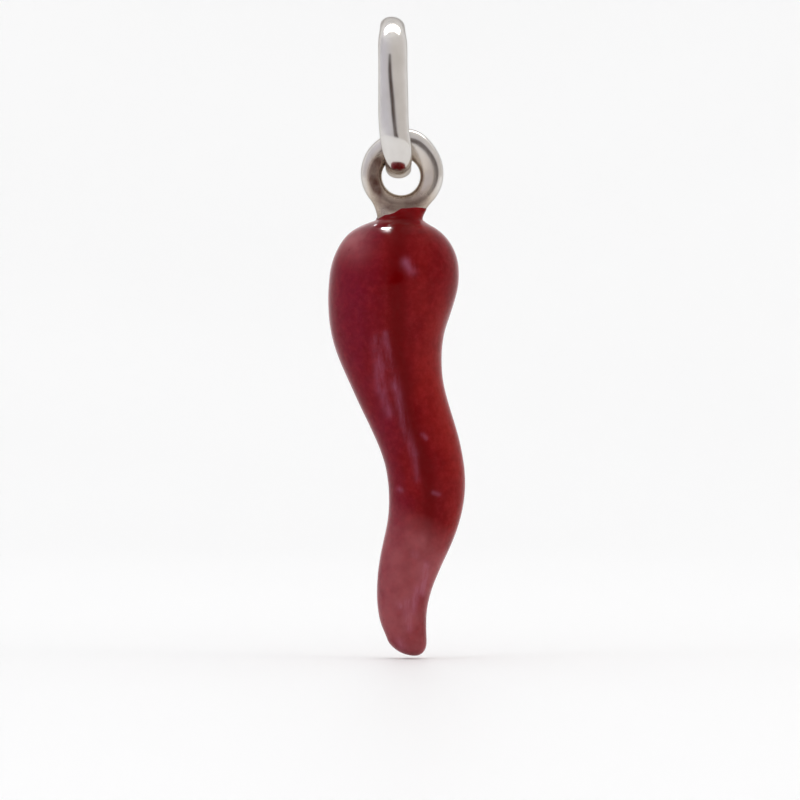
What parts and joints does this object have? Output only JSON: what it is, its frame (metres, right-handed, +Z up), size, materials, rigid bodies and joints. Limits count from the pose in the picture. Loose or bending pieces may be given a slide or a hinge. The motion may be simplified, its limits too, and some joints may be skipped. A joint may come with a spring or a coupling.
{
  "type": "cornicello horn pendant",
  "caption": "Small wavy horn charm of cast silver under a thick coat of red enamel, hanging by its eye from an oval bail for a fine neck chain.",
  "frame": {"origin": "the point under the inside of the bail's top bend, where a neck chain lies", "axes": "+Z up along the hanging pendant, the front faces -Y, +X is to the right seen from the front"},
  "size_m": [0.0062, 0.0052, 0.0288],
  "materials": {
    "silver": "polished sterling silver, slightly uneven, faintly toned in its recesses",
    "enamel": "thick glossy dark red cold enamel, hand laid, with small pits"
  },
  "bodies": {
    "bail": {"bail": "silver"},
    "horn": {"horn_casting": "silver", "enamel_coat": "enamel"}
  },
  "joints": [
    {"name": "horn_swing", "type": "hinge", "parent": "bail", "child": "horn", "pos_m": [0.00031, 0, -0.00629], "axis": [0, 1, 0], "range_deg": [-130, 120]}
  ]
}
